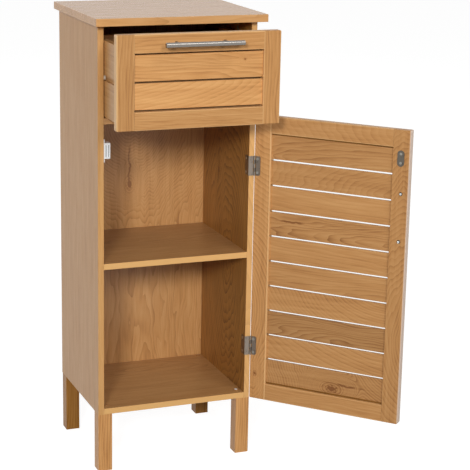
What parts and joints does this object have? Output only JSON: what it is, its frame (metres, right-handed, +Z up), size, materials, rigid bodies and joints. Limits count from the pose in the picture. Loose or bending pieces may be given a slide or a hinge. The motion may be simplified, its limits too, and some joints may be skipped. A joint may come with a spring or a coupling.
{
  "type": "bathroom floor cabinet",
  "caption": "Narrow free-standing oak-effect cabinet on square legs, with a drawer over a compartment with a shelf and a slatted door, and bar handles.",
  "frame": {"origin": "on the floor, at the outer front corner of the front left leg's sole", "axes": "+X to the right across the front, +Y from the front to the back, +Z up"},
  "size_m": [0.5896, 0.5117, 0.925],
  "materials": {
    "oak_board": "matt oak-effect foil",
    "oak_front": "satin oak-effect foil",
    "oak_inside": "matt oak-effect foil",
    "beech": "bare",
    "satin_nickel": "satin",
    "zinc": "bright",
    "white_plastic": "satin",
    "pale_plastic": "matt"
  },
  "bodies": {
    "cabinet": {"top_board": "oak_board", "left_side": "oak_board", "right_side": "oak_board", "bottom_board": "oak_inside", "drawer_divider": "oak_inside", "shelf": "oak_inside", "back_panel": "oak_inside", "leg_front_left": "oak_board", "leg_front_right": "oak_board", "leg_back_left": "oak_board", "leg_back_right": "oak_board", "leg_screws": "zinc", "leg_screw_caps": "white_plastic", "board_dowels": "beech", "cam_locks": "zinc", "cam_bolts": "zinc", "runner_left": "pale_plastic", "runner_right": "pale_plastic", "cabinet_small_screws": "zinc", "hinge_upper_side_leaf": "satin_nickel", "hinge_lower_side_leaf": "satin_nickel", "hinge_pins": "satin_nickel", "catch_body": "white_plastic", "catch_poles": "zinc"},
    "door": {"door_hinge_stile": "oak_front", "door_free_stile": "oak_front", "door_top_rail": "oak_front", "door_bottom_rail": "oak_front", "door_slat_01": "oak_front", "door_slat_02": "oak_front", "door_slat_03": "oak_front", "door_slat_04": "oak_front", "door_slat_05": "oak_front", "door_slat_06": "oak_front", "door_slat_07": "oak_front", "door_slat_08": "oak_front", "door_slat_09": "oak_front", "door_slat_10": "oak_front", "hinge_upper_door_leaf": "satin_nickel", "hinge_lower_door_leaf": "satin_nickel", "strike_plate": "zinc", "door_small_screws": "zinc", "door_handle_bar": "satin_nickel", "door_handle_posts": "satin_nickel", "door_handle_screws": "zinc"},
    "drawer": {"drawer_left_stile": "oak_front", "drawer_right_stile": "oak_front", "drawer_top_rail": "oak_front", "drawer_bottom_rail": "oak_front", "drawer_slat_01": "oak_front", "drawer_slat_02": "oak_front", "drawer_inner_front": "oak_inside", "drawer_left_side": "oak_inside", "drawer_right_side": "oak_inside", "drawer_back": "oak_inside", "drawer_bottom": "oak_inside", "drawer_screws": "zinc", "drawer_handle_bar": "satin_nickel", "drawer_handle_posts": "satin_nickel", "drawer_handle_screws": "zinc"}
  },
  "joints": [
    {"name": "door_hinge", "type": "hinge", "parent": "cabinet", "child": "door", "pos_m": [0.3272, -0.00225, 0.422], "axis": [0, 0, 1], "range_deg": [-133, 12]},
    {"name": "drawer_slide", "type": "slide", "parent": "cabinet", "child": "drawer", "axis": [0, -1, 0], "range_m": [-0.1, 0.08]}
  ]
}
